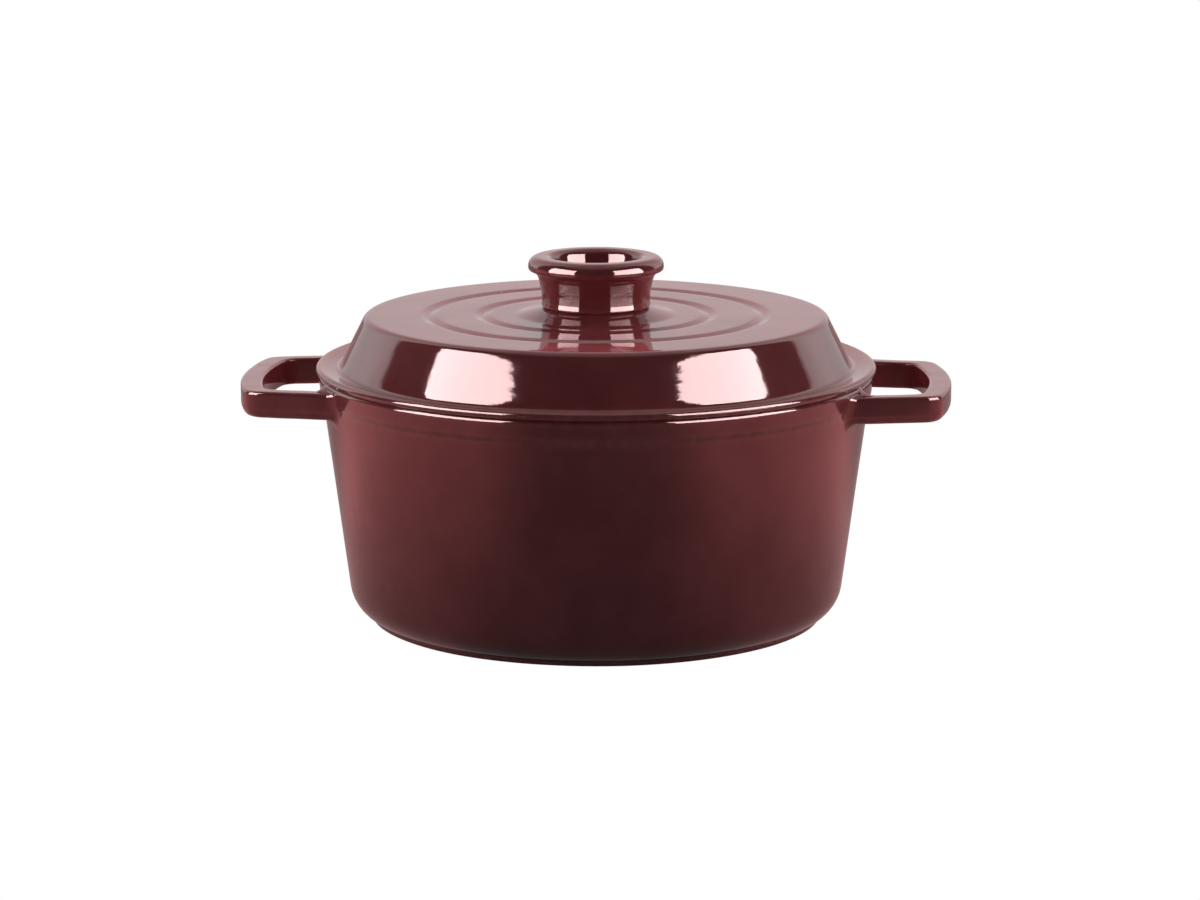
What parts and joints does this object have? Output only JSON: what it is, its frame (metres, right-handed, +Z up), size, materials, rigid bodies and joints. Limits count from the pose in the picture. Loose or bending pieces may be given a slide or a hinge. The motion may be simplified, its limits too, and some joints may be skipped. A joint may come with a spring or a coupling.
{
  "type": "cast iron dutch oven",
  "caption": "Round enamelled pot with loop side handles and a lift-off stepped lid with concentric grooves and a hollow round knob.",
  "frame": {"origin": "centre of the foot ring, on the surface the pot stands on", "axes": "+Z up along the axis of the pot, +X out through one of the two handles"},
  "size_m": [0.321, 0.2534, 0.1646],
  "materials": {
    "enamel": "glossy dark burgundy vitreous enamel over cast iron",
    "fastener_steel": "plain stainless steel"
  },
  "bodies": {
    "pot": {"pot": "enamel"},
    "lid": {"lid": "enamel", "knob": "enamel", "knob_screw": "fastener_steel", "flat_washer": "fastener_steel", "spring_washer": "fastener_steel"}
  },
  "joints": [
    {"name": "lid_lift", "type": "slide", "parent": "pot", "child": "lid", "axis": [0, 0, 1], "range_m": [0, 0.15]}
  ]
}
